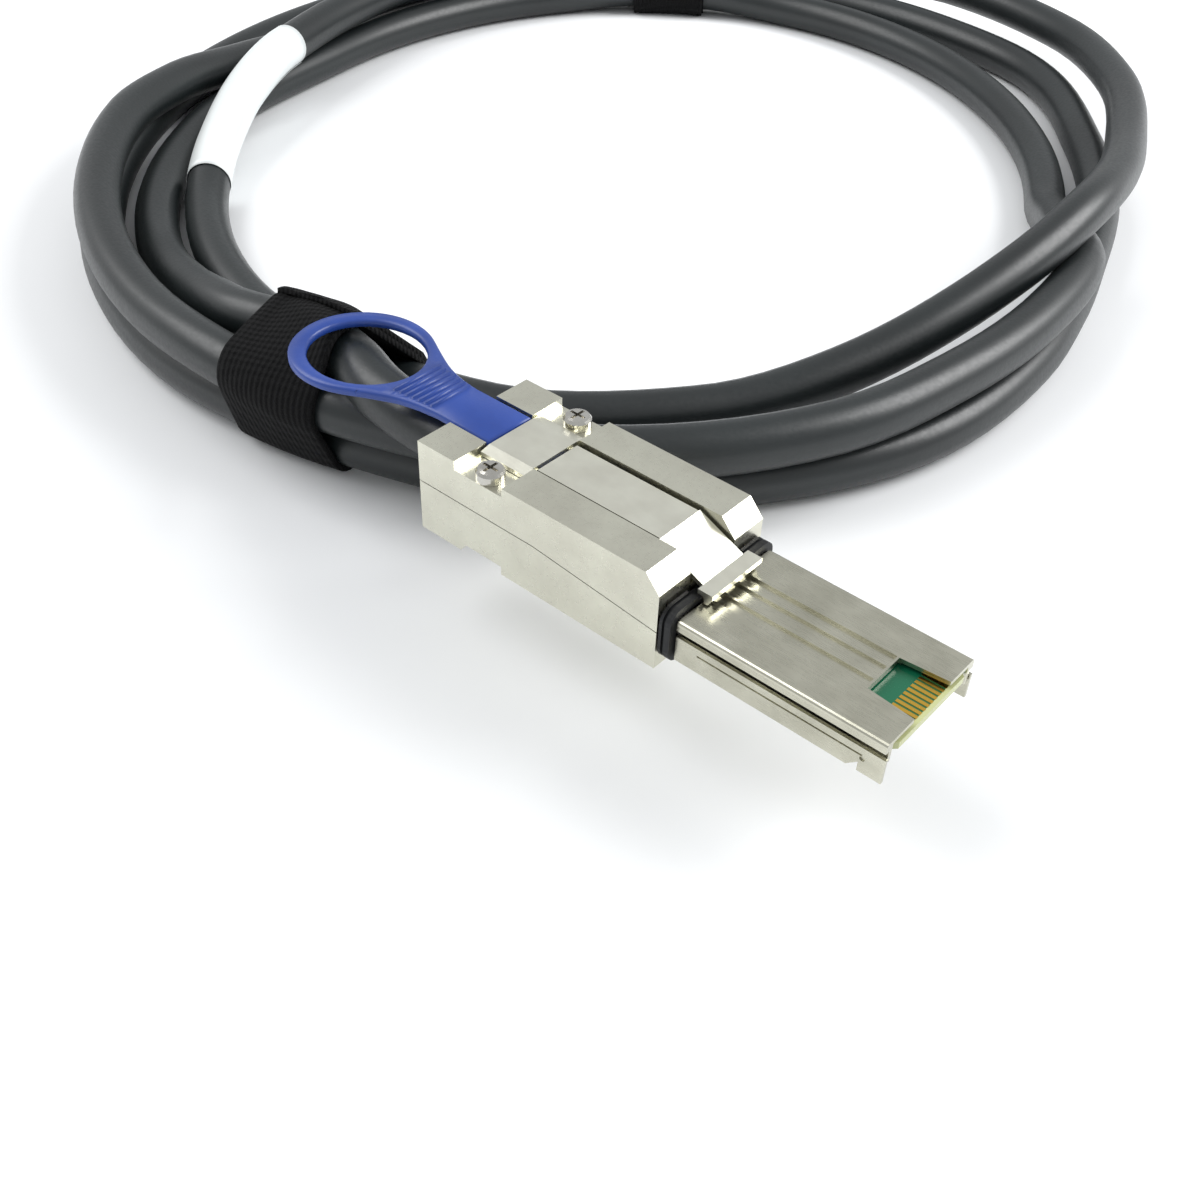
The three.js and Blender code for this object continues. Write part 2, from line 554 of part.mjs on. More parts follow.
/** The cores, fanned out flat from the round cable to the board's width. */
function wireBundle() {
  const ring = (x, wide, thick, z) => Array.from({ length: CORES.sides }, (_, i) => {
    const a = 2 * Math.PI * i / CORES.sides;
    return new THREE.Vector3(x, wide * Math.cos(a), z + thick * Math.sin(a));
  });
  return loft([ring(CORES.start, CORES.radius, CORES.radius, CABLE.z), ...FAN.map((row) => ring(...row))]);
}

/** One plug with everything on it. */
function plug(end) {
  const group = new THREE.Group();
  const add = (name, geometry, finish) => group.add(piece(`${end}_${name}`, geometry, finish));
  add('upper_housing', upperHousing(), METAL);
  add('lower_housing', lowerHousing(), METAL);
  add('nose_shell', noseShell(), SHEET);
  add('nose_tray', noseTray(), SHEET);
  add('gasket', gasket(), RUBBER);
  add('paddle_board', paddleBoard(), GREEN);
  add('latch_bracket', latchBracket(), METAL);
  add('latch_lever', latchLever(), METAL);
  add('lever_pin', leverPin(), METAL);
  add('latch_spring', latchSpring(), METAL);
  add('pull_tab', pullTab(), BLUE);
  add('screw_left', screw(-1), METAL);
  add('screw_right', screw(1), METAL);
  add('cable_clamp', cableClamp(), METAL);
  add('wire_bundle', wireBundle(), WIRE);
  return group;
}

// Cable route

/** Value of one column of the turns at an angle, eased so that it never overshoots. */
function eased(angle, column) {
  let i = 0;
  while (i < TURNS.length - 2 && TURNS[i + 1][0] < angle) {
    i += 1;
  }
  const rate = (k) => (TURNS[k + 1][column] - TURNS[k][column]) / (TURNS[k + 1][0] - TURNS[k][0]);
  const slope = (k) => {
    if (k === 0 || k === TURNS.length - 1) {
      return 0;
    }
    const [a, b] = [rate(k - 1), rate(k)];
    return a * b <= 0 ? 0 : 2 * a * b / (a + b);
  };
  const span = TURNS[i + 1][0] - TURNS[i][0];
  const s = (angle - TURNS[i][0]) / span;
  return (2 * s ** 3 - 3 * s ** 2 + 1) * TURNS[i][column] + (s ** 3 - 2 * s ** 2 + s) * slope(i) * span
    + (3 * s ** 2 - 2 * s ** 3) * TURNS[i + 1][column] + (s ** 3 - s ** 2) * slope(i + 1) * span;
}

/** Extra height near the straps, where the turns lie on the webbing. */
function strapRise(angle) {
  const bump = (centre) => {
    const off = ((angle - centre) % 360 + 540) % 360 - 180;
    return Math.exp(-((off / STRAP.ease) ** 4));
  };
  return (STRAP.thick + STRAP.gap) * Math.max(bump(STRAP.near), bump(STRAP.far));
}

function coilPoint(angle) {
  const theta = THREE.MathUtils.degToRad(-angle);
  const u = theta - THREE.MathUtils.degToRad(OVAL.tilt);
  const base = OVAL.long * OVAL.wide / Math.hypot(OVAL.wide * Math.cos(u), OVAL.long * Math.sin(u));
  const r = base + eased(angle, 1) * LANE;
  const z = CABLE.radius + REST + eased(angle, 2) * 2 * CABLE.radius + strapRise(angle);
  return new THREE.Vector3(OVAL.x + r * Math.cos(theta), OVAL.y + r * Math.sin(theta), z);
}

const FIRST = TURNS[0][0];
const FINAL = TURNS[TURNS.length - 1][0];

const vectors = (list) => list.map(([x, y, z]) => new THREE.Vector3(x, y, z));

/** A round tube through points, with flat ends. */
function tube(points, radius) {
  const curve = new THREE.CatmullRomCurve3(points, false, 'centripetal');
  const ring = Array.from({ length: CABLE.sides }, (_, i) => {
    const a = 2 * Math.PI * i / CABLE.sides;
    return new THREE.Vector2(radius * Math.cos(a), radius * Math.sin(a));
  });
  const steps = Math.max(4, Math.round(curve.getLength() / TUBE_STEP * 2));
  return new THREE.ExtrudeGeometry(new THREE.Shape(ring), { steps, extrudePath: curve, bevelEnabled: false });
}

/** Where the turns pass one angle of the oval, counted clockwise from the near plug. */
function strandsAt(angle) {
  const found = [];
  for (let a = angle % 360; a <= FINAL; a += 360) {
    if (a >= FIRST) {
      found.push(coilPoint(a));
    }
  }
  return found;
}

/** Points of the upright plane at one angle, as distance out from the oval's centre and height. */
function inPlane(points, angle) {
  const theta = THREE.MathUtils.degToRad(-angle);
  return points.map((p) => new THREE.Vector2(
    (p.x - OVAL.x) * Math.cos(theta) + (p.y - OVAL.y) * Math.sin(theta), p.z));
}

/** Outline that hugs round strands, as evenly turned points about their middle. */
function hugging(strands, radius, count) {
  const mid = strands.reduce((sum, p) => sum.add(p), new THREE.Vector2()).divideScalar(strands.length);
  const reach = (a) => Math.max(...strands.map((p) => {
    const d = new THREE.Vector2(Math.cos(a), Math.sin(a));
    return p.clone().sub(mid).dot(d) + radius;
  }));
  return Array.from({ length: count }, (_, i) => {
    const a = 2 * Math.PI * i / count;
    let best = Infinity;
    for (let k = 0; k < 72; k += 1) {
      const b = 2 * Math.PI * k / 72;
      const face = Math.cos(a - b);
      if (face > 0.05) {
        best = Math.min(best, reach(b) / face);
      }
    }
    return new THREE.Vector2(mid.x + best * Math.cos(a), Math.max(0.02, mid.y + best * Math.sin(a)));
  });
}

function lifted(outlinePoints, angle) {
  const theta = THREE.MathUtils.degToRad(-angle);
  return outlinePoints.map((p) => new THREE.Vector3(
    OVAL.x + p.x * Math.cos(theta), OVAL.y + p.x * Math.sin(theta), p.y));
}

/** The wound turns as one body of their outer shape. */
function coilBody(tools) {
  const rings = [];
  for (let angle = 0; angle < 360; angle += COIL_STEP) {
    rings.push(lifted(hugging(inPlane(strandsAt(angle), angle), CABLE.radius, HULL_POINTS), angle));
  }
  return cut(loft(rings, true), ...tools);
}

/** The points of a route that lie between a band's two edges. */
function underBand(route, angle) {
  const theta = THREE.MathUtils.degToRad(-angle);
  const curve = new THREE.CatmullRomCurve3(route, false, 'centripetal');
  return curve.getPoints(STRAP_SAMPLES).filter((p) => {
    const sideways = (p.y - OVAL.y) * Math.cos(theta) - (p.x - OVAL.x) * Math.sin(theta);
    const outwards = (p.x - OVAL.x) * Math.cos(theta) + (p.y - OVAL.y) * Math.sin(theta);
    return outwards > 0 && Math.abs(sideways) <= STRAP.width / 2 + 1;
  });
}

/** A band of webbing round the strands at one angle and round a route that crosses there, grown by a clearance. */
function strapBand(angle, route, grown = 0) {
  const theta = THREE.MathUtils.degToRad(-angle);
  const turns = [-STRAP.spread, 0, STRAP.spread].flatMap((off) => strandsAt(angle + off));
  const strands = inPlane([...turns, ...underBand(route, angle)], angle);
  const inner = hugging(strands, CABLE.radius + STRAP.gap - grown, STRAP_SIDES);
  const outer = hugging(strands, CABLE.radius + STRAP.gap + STRAP.thick + grown, STRAP_SIDES);
  const width = STRAP.width + 2 * grown;
  const shape = new THREE.Shape(outer);
  shape.holes.push(new THREE.Path(inner));
  const band = new THREE.ExtrudeGeometry(shape, { depth: width, bevelEnabled: false }).translate(0, 0, -width / 2);
  const out = new THREE.Vector3(Math.cos(theta), Math.sin(theta), 0);
  const up = new THREE.Vector3(0, 0, 1);
  const turn = new THREE.Matrix4().makeBasis(out, up, out.clone().cross(up));
  return band.applyMatrix4(turn).translate(OVAL.x, OVAL.y, 0);
}

/** A tube along the turn that carries the label, which may run on past each of its ends. */
function labelSleeve(radius, extra = 0) {
  const steps = 6;
  const from = LABEL.from - extra;
  const span = LABEL.to + extra - from;
  const points = Array.from({ length: steps + 1 }, (_, i) => coilPoint(from + span * i / steps));
  return tube(points, radius);
}

const cable = new THREE.Group();
const nearPlug = plug('near');
nearPlug.position.z = LIFT;
const farPlug = plug('far');
farPlug.position.set(FAR_PLUG.x, FAR_PLUG.y, 0);
farPlug.rotation.z = THREE.MathUtils.degToRad(FAR_PLUG.turn);

const leadRoute = [...vectors(LEAD), coilPoint(FIRST)];
const tailRoute = [coilPoint(FINAL), ...vectors(TAIL)];
const room = CABLE.radius + SEAT;
const plugRoom = box(-SEAT, NOSE.end, -HOUSING.half - SEAT, HOUSING.half + SEAT, LIFT - SEAT, LIFT + HOUSING.height);
const wound = coilBody([
  plugRoom, tube([...leadRoute, coilPoint(FIRST + 1)], room), tube([coilPoint(FINAL - 1), ...tailRoute], room),
  labelSleeve(room + LABEL.sheet, LABEL.margin), strapBand(STRAP.near, leadRoute, STRAP.clear),
  strapBand(STRAP.far, tailRoute, STRAP.clear),
]);
const coil = join(wound, labelSleeve(CABLE.radius - LABEL.margin, 2 * LABEL.margin));
const lead = tube(leadRoute, CABLE.radius);
const tail = tube(tailRoute, CABLE.radius);
const label = cut(labelSleeve(CABLE.radius + LABEL.sheet), labelSleeve(CABLE.radius, LABEL.margin));
const nearBand = strapBand(STRAP.near, leadRoute);
const farBand = strapBand(STRAP.far, tailRoute);

cable.add(nearPlug, farPlug);
cable.add(piece('cable_coil', coil, JACKET));
cable.add(piece('cable_near', lead, JACKET));
cable.add(piece('cable_far', tail, JACKET));
cable.add(piece('near_strap', nearBand, WEBBING));
cable.add(piece('far_strap', farBand, WEBBING));
cable.add(piece('cable_label', label, PAPER));

// The origin lies on the surface, under the middle of the two plugs.
cable.updateMatrixWorld(true);
const plugs = new THREE.Box3().setFromObject(nearPlug, true).union(new THREE.Box3().setFromObject(farPlug, true));
const middle = plugs.getCenter(new THREE.Vector3());
cable.position.set(-middle.x, -middle.y, 0);

export default cable;
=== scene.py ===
"""Dresses a coiled storage cable with a latching plug on each end, and sets up a soft studio round it.

Lengths are in metres in the row frame: +Z up, +X along the near plug, the surface at Z 0.
"""

import json
import logging
import math
from dataclasses import dataclass, field
from enum import Enum

import bmesh
import bpy
from mathutils import Matrix, Vector

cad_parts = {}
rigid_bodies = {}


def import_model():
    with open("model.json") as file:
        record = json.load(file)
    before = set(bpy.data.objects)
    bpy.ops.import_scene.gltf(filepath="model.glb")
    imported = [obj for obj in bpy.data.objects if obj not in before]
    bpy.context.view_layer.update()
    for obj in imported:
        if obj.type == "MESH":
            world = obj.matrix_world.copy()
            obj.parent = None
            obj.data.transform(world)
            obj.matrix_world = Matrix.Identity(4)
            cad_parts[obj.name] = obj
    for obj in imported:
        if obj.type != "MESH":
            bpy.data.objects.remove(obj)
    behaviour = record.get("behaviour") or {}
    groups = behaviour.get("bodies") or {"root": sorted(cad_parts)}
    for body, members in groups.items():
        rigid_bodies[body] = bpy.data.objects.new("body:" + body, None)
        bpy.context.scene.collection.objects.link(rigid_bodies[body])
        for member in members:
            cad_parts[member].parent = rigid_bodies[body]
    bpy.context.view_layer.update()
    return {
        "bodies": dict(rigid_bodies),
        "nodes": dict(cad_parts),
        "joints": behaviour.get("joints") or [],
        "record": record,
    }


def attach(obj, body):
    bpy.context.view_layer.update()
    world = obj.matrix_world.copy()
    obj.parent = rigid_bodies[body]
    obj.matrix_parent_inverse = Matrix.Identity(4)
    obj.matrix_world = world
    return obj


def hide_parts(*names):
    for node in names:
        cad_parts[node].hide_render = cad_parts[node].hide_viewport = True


LOG = logging.getLogger("scene")
MM = 0.001

# The near plug's own frame, and the far plug's, in the row frame
NEAR_ORIGIN = Vector((0.015959, -0.181730, 0.012))
FAR_ORIGIN = Vector((-0.066541, 0.124770, 0.0))
FAR_TURN = 63.5


class Body(Enum):
    """The record's bodies that pieces ride on."""

    ASSEMBLY = "assembly"
    NEAR_TAB = "near_tab"
    FAR_TAB = "far_tab"


class Slot(Enum):
    """The record's material slots that new pieces take their finish from."""

    JACKET = "jacket"
    WEBBING = "webbing"
    LABEL = "label_film"
    TAB = "tab_plastic"


def linear(hexed: str) -> tuple[float, float, float, float]:
    """Turns an sRGB hex colour into linear values.

    Args:
        hexed: the colour, such as "#8090a0".

    Returns:
        Red, green, blue and an alpha of one.
    """
    parts = [int(hexed[i : i + 2], 16) / 255 for i in (1, 3, 5)]
    flat = [c / 12.92 if c <= 0.04045 else ((c + 0.055) / 1.055) ** 2.4 for c in parts]
    return (flat[0], flat[1], flat[2], 1.0)


class NodeGraph:
    """A small helper round one node tree."""

    def __init__(self, tree: bpy.types.NodeTree) -> None:
        """Keeps the tree that nodes are added to."""
        self.tree = tree

    def add(self, kind: str, inputs: dict | None = None, **values: object) -> bpy.types.Node:
        """Adds one node.

        Args:
            kind: the node's type name.
            inputs: socket name or index to a number, a tuple or another node's output.
            values: attributes of the node.

        Returns:
            The new node.
        """
        node = self.tree.nodes.new(kind)
        for key, value in values.items():
            setattr(node, key, value)
        for key, value in (inputs or {}).items():
            if isinstance(value, bpy.types.NodeSocket):
                self.tree.links.new(value, node.inputs[key])
            else:
                node.inputs[key].default_value = value
        return node

    def ramp(self, source: bpy.types.NodeSocket, stops: list[tuple[float, tuple]]) -> bpy.types.NodeSocket:
        """Maps a value to a colour.

        Args:
            source: the value.
            stops: position and colour pairs, in order.

        Returns:
            The colour output.
        """
        node = self.add("ShaderNodeValToRGB", {"Fac": source})
        ramp = node.color_ramp
        while len(ramp.elements) < len(stops):
            ramp.elements.new(0.5)
        for element, (place, colour) in zip(ramp.elements, stops):
            element.position = place
            element.color = colour
        return node.outputs["Color"]


@dataclass(frozen=True)
class Finish:
    """A finish: base colour with a coarse blotch of tone, how metallic and rough it is, and a fine grain of
    roughness and relief.

    Grain size is the width of one grain in millimetres, and stretch draws it out along X.
    """

    name: str
    colour: str
    shade: str
    roughness: float
    spread: float = 0.08
    metallic: float = 0.0
    grain_mm: float = 0.4
    stretch: float = 1.0
    relief_mm: float = 0.01
    blotch_mm: float = 9.0
    coat: float = 0.0
    ior: float = 1.5
    coat_roughness: float = 0.25
    shade_below: float = 0.32
    colour_above: float = 0.68
    bump_strength: float = 0.6

    def graph(self) -> tuple[bpy.types.Material, NodeGraph, bpy.types.Node]:
        """Makes an empty material with its surface node.

        Returns:
            The material, its graph and the surface node.
        """
        material = bpy.data.materials.new(self.name)
        material.use_nodes = True
        graph = NodeGraph(material.node_tree)
        surface = next(n for n in material.node_tree.nodes if n.type == "BSDF_PRINCIPLED")
        return material, graph, surface

    def build(self) -> bpy.types.Material:
        """Makes the material with its colour, roughness and relief.

        Returns:
            The finished material.
        """
        material, graph, surface = self.graph()
        place = graph.add("ShaderNodeTexCoord").outputs["Object"]
        blotch = graph.add(
            "ShaderNodeTexNoise", {"Vector": place, "Scale": 1 / (self.blotch_mm * MM), "Detail": 4.0}
        )
        colour = graph.ramp(
            blotch.outputs["Fac"],
            [(self.shade_below, linear(self.shade)), (self.colour_above, linear(self.colour))],
        )
        self.wire(graph, surface, place, colour)
        surface.inputs["Metallic"].default_value = self.metallic
        if self.metallic < 0.5:
            surface.inputs["IOR"].default_value = self.ior
        surface.inputs["Coat Weight"].default_value = self.coat
        surface.inputs["Coat Roughness"].default_value = self.coat_roughness
        return material

    def wire(
        self,
        graph: NodeGraph,
        surface: bpy.types.Node,
        place: bpy.types.NodeSocket,
        colour: bpy.types.NodeSocket,
    ) -> None:
        """Joins colour, roughness and relief to the surface.

        Args:
            graph: the graph to add to.
            surface: the surface node.
            place: the coordinates.
            colour: the colour output.
        """
        drawn = graph.add(
            "ShaderNodeMapping", {"Vector": place, "Scale": (1 / self.stretch, 1.0, 1.0)}
        ).outputs["Vector"]
        grain = graph.add(
            "ShaderNodeTexNoise", {"Vector": drawn, "Scale": 1 / (self.grain_mm * MM), "Detail": 3.0}
        )
        rough = graph.add(
            "ShaderNodeMapRange",
            {
                "Value": grain.outputs["Fac"],
                "From Min": 0.25,
                "From Max": 0.75,
                "To Min": max(0.03, self.roughness - self.spread),
                "To Max": min(1.0, self.roughness + self.spread),
            },
        )
        bump = graph.add(
            "ShaderNodeBump",
            {"Height": grain.outputs["Fac"], "Distance": self.relief_mm * MM, "Strength": self.bump_strength},
        )
        links = graph.tree.links
        links.new(colour, surface.inputs["Base Color"])
        links.new(rough.outputs["Result"], surface.inputs["Roughness"])
        links.new(bump.outputs["Normal"], surface.inputs["Normal"])


# Zinc die casting under satin nickel plate: a fine orange peel and a warm cast
CASTING = Finish("nickel_plated_zinc_casting", "#e1e0d0", "#d3d1c2", 0.3, 0.05, 1.0, 0.5, 1.0, 0.003, 7.0)
# Nickel-plated steel, rolled and stamped: grain drawn along the length
STAMPED = Finish("nickel_plated_stamped_steel", "#cdcbbb", "#bab8a8", 0.29, 0.06, 1.0, 0.2, 10.0, 0.002, 5.0)
# The same sheet as the nose, its colour lightened on the latch as a painted highlight where the sloped latch
# catches the light
LATCH_PAINTED_HIGHLIGHT = Finish("stamped_latch_steel_painted_highlight", "#f0efe1", "#e3e1d3", 0.34, 0.05, 1.0, 0.2, 10.0, 0.002, 5.0)
# Cold-formed screws under bright zinc plate
SCREW = Finish("zinc_plated_cold_formed_steel", "#d4d2cc", "#bdbab2", 0.22, 0.05, 1.0, 0.3, 1.0, 0.003, 3.0)
# Compression-moulded silicone rubber, left as it comes from the mould
RUBBER = Finish("moulded_silicone_rubber", "#191a1c", "#101112", 0.55, 0.08, 0.0, 0.25, 1.0, 0.01, 6.0, ior=1.41)
# Injection-moulded polypropylene in cobalt blue, with a fine mould texture
TAB = Finish("moulded_blue_polypropylene", "#234598", "#1b3984", 0.38, 0.06, 0.0, 0.35, 1.0, 0.012, 9.0, 0.15, 1.49)
# Extruded vinyl jacket with a satin skin
JACKET = Finish("extruded_vinyl_jacket", "#191f20", "#101516", 0.4, 0.06, 0.0, 0.6, 1.0, 0.03, 26.0, 0.1, 1.53)
# Woven nylon hook and loop tape
WEBBING = Finish("woven_nylon_hook_and_loop", "#0b0b0c", "#030304", 0.95, 0.05, 0.0, 0.35, 1.0, 0.12, 5.0, ior=1.53)
# White polyester label film, wound round the jacket
FILM = Finish("polyester_label_film", "#e9edec", "#dfe4e4", 0.33, 0.04, 0.0, 1.2, 1.0, 0.004, 20.0, 0.1, 1.57)
# Foil and insulation over the cores
CORES = Finish("foil_wrapped_cores", "#a5a9ab", "#8a8f92", 0.4, 0.1, 0.5, 0.5, 3.0, 0.02, 4.0)


@dataclass(frozen=True)
class BoardFinish:
    """Glass laminate under green solder mask, with gold-plated contact strips and a bare bevelled front edge.

    Heights and lengths are in millimetres in the plug's own frame. A contact strip is what stands a little proud of
    either side of the laminate.
    """

    name: str
    origin: Vector
    turn: float
    top: float = 7.15
    thick: float = 1.0
    mask_end: float = 67.0
    edge: float = 69.75
    face: float = 0.02
    solder_mask: str = "#125f42"
    laminate: str = "#2b5c33"
    bevel: str = "#b9bd8a"
    gold: str = "#e2b64e"

    def build(self) -> bpy.types.Material:
        """Makes the board's material from places in the plug's own frame.

        Returns:
            The finished material.
        """
        base = Finish(self.name, "#17694a", "#12573d", 0.25, 0.04, 0.0, 0.3, 1.0, 0.004, 3.0)
        material, graph, surface = base.graph()
        place = graph.add("ShaderNodeTexCoord").outputs["Object"]
        local = graph.add(
            "ShaderNodeVectorMath", {0: place, 1: tuple(self.origin)}, operation="SUBTRACT"
        ).outputs["Vector"]
        way = math.radians(self.turn)
        length = graph.add(
            "ShaderNodeVectorMath", {0: local, 1: (math.cos(way), math.sin(way), 0.0)}, operation="DOT_PRODUCT"
        ).outputs["Value"]
        height = graph.add("ShaderNodeSeparateXYZ", {0: local}).outputs["Z"]
        above = self.over(graph, height, (self.top + self.face) * MM)
        depth = graph.add("ShaderNodeMath", {0: height, 1: -1.0}, operation="MULTIPLY").outputs[0]
        below = self.over(graph, depth, -(self.top - self.thick - self.face) * MM)
        gold = graph.add("ShaderNodeMath", {0: above, 1: below}, operation="MAXIMUM").outputs[0]
        bare = self.over(graph, length, self.mask_end * MM)
        edge = self.over(graph, length, self.edge * MM)
        mask = self.mix(graph, bare, linear(self.solder_mask), linear(self.laminate))
        rim = self.mix(graph, edge, mask, linear(self.bevel))
        colour = self.mix(graph, gold, rim, linear(self.gold))
        base.wire(graph, surface, place, colour)
        graph.tree.links.new(gold, surface.inputs["Metallic"])
        return material

    @staticmethod
    def over(graph: NodeGraph, value: bpy.types.NodeSocket, limit: float) -> bpy.types.NodeSocket:
        """Gives one where the value is above the limit, and zero below it."""
        return graph.add("ShaderNodeMath", {0: value, 1: limit}, operation="GREATER_THAN").outputs[0]

    @staticmethod
    def mix(graph: NodeGraph, share: bpy.types.NodeSocket, low: object, high: object) -> bpy.types.NodeSocket:
        """Mixes two colours by a share.

        Args:
            graph: the graph to add to.
            share: how much of the second colour.
            low: the first colour or an output.
            high: the second colour or an output.

        Returns:
            The mixed colour output.
        """
        node = graph.add("ShaderNodeMix", {0: share, 6: low, 7: high}, data_type="RGBA")
        return node.outputs[2]


def mesh_piece(name: str, points: list[Vector], faces: list[tuple], finish: bpy.types.Material) -> bpy.types.Object:
    """Makes an object from points and faces, smooth, with a finish.

    Args:
        name: the object's name.
        points: corner places in the row frame.
        faces: tuples of point numbers.
        finish: the material.

    Returns:
        The linked object.
    """
    mesh = bpy.data.meshes.new(name)
    mesh.from_pydata([tuple(p) for p in points], [], faces)
    mesh.validate()
    mesh.polygons.foreach_set("use_smooth", [True] * len(mesh.polygons))
    mesh.materials.append(finish)
    obj = bpy.data.objects.new(name, mesh)
    bpy.context.scene.collection.objects.link(obj)
    return obj


def catmull(points: list[Vector], per_span: int) -> list[Vector]:
    """Draws a smooth line through points.

    Args:
        points: the points, with both ends included.
        per_span: steps between neighbours.

    Returns:
        The finer points.
    """
    out = []
    for i in range(len(points) - 1):
        a = points[max(i - 1, 0)]
        b, c = points[i], points[i + 1]
        d = points[min(i + 2, len(points) - 1)]
        for k in range(per_span):
            s = k / per_span
            out.append(
                0.5 * (2 * b + (c - a) * s + (2 * a - 5 * b + 4 * c - d) * s**2 + (3 * b - a - 3 * c + d) * s**3)
            )
    out.append(points[-1])
    return out


@dataclass
class CoilRoute:
    """The cable's centreline: out of the near plug, round the oval lanes, and away to the far plug.

    A turn is a row of degrees clockwise, lane outwards and level upwards.
    """

    centre: Vector = field(default_factory=lambda: Vector((-0.0687, 0.1171, 0.0)))
    long: float = 0.1036
    wide: float = 0.0853
    tilt: float = 116.3
    lane: float = 0.0095
    radius: float = 0.0041
    rest: float = 0.0001
    strap_rise: float = 0.00111
    strap_ease: float = 13.0
    near_strap: float = 75.5
    far_strap: float = 235.0
    coil_step: float = 2.5
    join: float = 5.0
    lead_steps: int = 6
    tail_steps: int = 8
    turns: tuple[tuple[float, float, float], ...] = (
        (86, 1.12, 1), (96, 1, 0.55), (112, 1, 0), (140, 0.75, 0), (175, 0, 0), (235, 0, 0), (300, 0, 0),
        (332, 0, 0), (345, 0.35, 0.5), (358, 1.2, 0.97), (370, 1.42, 1), (384, 1.7, 1), (396, 2.08, 1),
        (412, 2.24, 1), (430, 2.26, 1), (450, 2.12, 1), (475, 1.98, 1), (492, 1.85, 1), (505, 1.5, 0.85),
        (520, 1.12, 0.4), (535, 1, 0.05), (550, 1, 0), (595, 1.1, 0), (635, 1.7, 0), (649, 1.95, 0),
        (672, 1.33, 0), (692, 1.12, 0), (706, 1, 0), (719, 1.17, 0), (730, 1.47, 0), (751, 1.93, 0),
        (775, 1.85, 0), (790, 1.85, 0), (810, 2, 0), (880, 2.1, 0), (930, 2.05, 0), (957, 2.1, 0),
        (973, 2.5, 0.3), (990, 3.05, 0.8), (1008, 3, 0.9), (1024, 2.45, 1.05), (1045, 1.5, 1.3),
        (1062, 1.1, 1.7), (1073, 0.9, 1.9), (1084, 0.62, 1.6), (1096, 0.28, 1.05), (1110, 0, 0.4),
        (1124, -0.12, 0), (1146, 0.1, 0), (1170, 0, 0), (1195, 0, 0), (1212, -0.05, 0.35),
        (1226, -0.1, 0.8), (1240, -0.1, 1.02), (1258, 0.1, 1.02), (1275, 0.45, 0.97),
    )
    lead: tuple[tuple[float, float, float], ...] = (
        (0.001, 0, 0.0188), (-0.005, 0, 0.0188), (-0.012, 0, 0.019), (-0.02, 0.001, 0.0192),
        (-0.028, 0.0036, 0.0191), (-0.038, 0.0062, 0.0177), (-0.049, 0.0072, 0.015),
    )
    tail: tuple[tuple[float, float, float], ...] = (
        (-0.157, 0.166, 0.0126), (-0.141, 0.196, 0.0132), (-0.127, 0.222, 0.0146), (-0.113, 0.247, 0.0134),
        (-0.104, 0.2635, 0.0098), (-0.0976, 0.2763, 0.0071), (-0.09, 0.2914, 0.0068),
        (-0.08205, 0.3074, 0.0068),
    )

    @property
    def shift(self) -> Vector:
        """The near plug's place on the surface, which the route's points are counted from."""
        return Vector((NEAR_ORIGIN.x, NEAR_ORIGIN.y, 0.0))

    def eased(self, angle: float, column: int) -> float:
        """Reads one column of the turns at an angle, without overshoot.

        Args:
            angle: degrees along the route.
            column: 1 for the lane, 2 for the level.

        Returns:
            The value there.
        """
        rows = self.turns
        i = 0
        while i < len(rows) - 2 and rows[i + 1][0] < angle:
            i += 1

        def rate(k: int) -> float:
            """Slope of one span."""
            return (rows[k + 1][column] - rows[k][column]) / (rows[k + 1][0] - rows[k][0])

        def slope(k: int) -> float:
            """Slope at one row, from its two spans."""
            if k == 0 or k == len(rows) - 1:
                return 0.0
            a, b = rate(k - 1), rate(k)
            return 0.0 if a * b <= 0 else 2 * a * b / (a + b)

        span = rows[i + 1][0] - rows[i][0]
        s = (angle - rows[i][0]) / span
        return (
            (2 * s**3 - 3 * s**2 + 1) * rows[i][column]
            + (s**3 - 2 * s**2 + s) * slope(i) * span
            + (3 * s**2 - 2 * s**3) * rows[i + 1][column]
            + (s**3 - s**2) * slope(i + 1) * span
        )

    def point(self, angle: float) -> Vector:
        """A point of the coil.

        Args:
            angle: degrees along the route.

        Returns:
            Its place in the row frame.
        """
        theta = math.radians(-angle)
        u = theta - math.radians(self.tilt)
        base = self.long * self.wide / math.hypot(self.wide * math.cos(u), self.long * math.sin(u))
        r = base + self.eased(angle, 1) * self.lane
        away = [((angle - strap) % 360 + 540) % 360 - 180 for strap in (self.near_strap, self.far_strap)]
        rise = self.strap_rise * max(math.exp(-((turn / self.strap_ease) ** 4)) for turn in away)
        z = self.radius + self.rest + self.eased(angle, 2) * 2 * self.radius + rise
        return self.shift + self.centre + Vector((r * math.cos(theta), r * math.sin(theta), z))

    def free(self, rows: tuple[tuple[float, float, float], ...]) -> list[Vector]:
        """Turns rows of the lead or the tail into points of the row frame."""
        return [self.shift + Vector(row) for row in rows]

    def coil(self) -> list[Vector]:
        """The wound stretch as points, one every few degrees."""
        first, last = self.turns[0][0], self.turns[-1][0]
        count = round((last - first) / self.coil_step)
        return [self.point(first + (last - first) * i / count) for i in range(count + 1)]

    def lead_line(self) -> list[Vector]:
        """The stretch from the near plug to the coil."""
        first = self.turns[0][0]
        through = [*self.free(self.lead), self.point(first), self.point(first + self.join)]
        return catmull(through, self.lead_steps)[: -self.lead_steps]

    def tail_line(self) -> list[Vector]:
        """The stretch from the coil to the far plug."""
        last = self.turns[-1][0]
        through = [self.point(last - self.join), self.point(last), *self.free(self.tail)]
        return catmull(through, self.tail_steps)[self.tail_steps :]

    def line(self) -> list[Vector]:
        """The whole centreline."""
        return [*self.lead_line()[:-1], *self.coil()[:-1], *self.tail_line()]

    def length(self) -> float:
        """Length of the centreline."""
        points = self.line()
        return sum((b - a).length for a, b in zip(points, points[1:]))

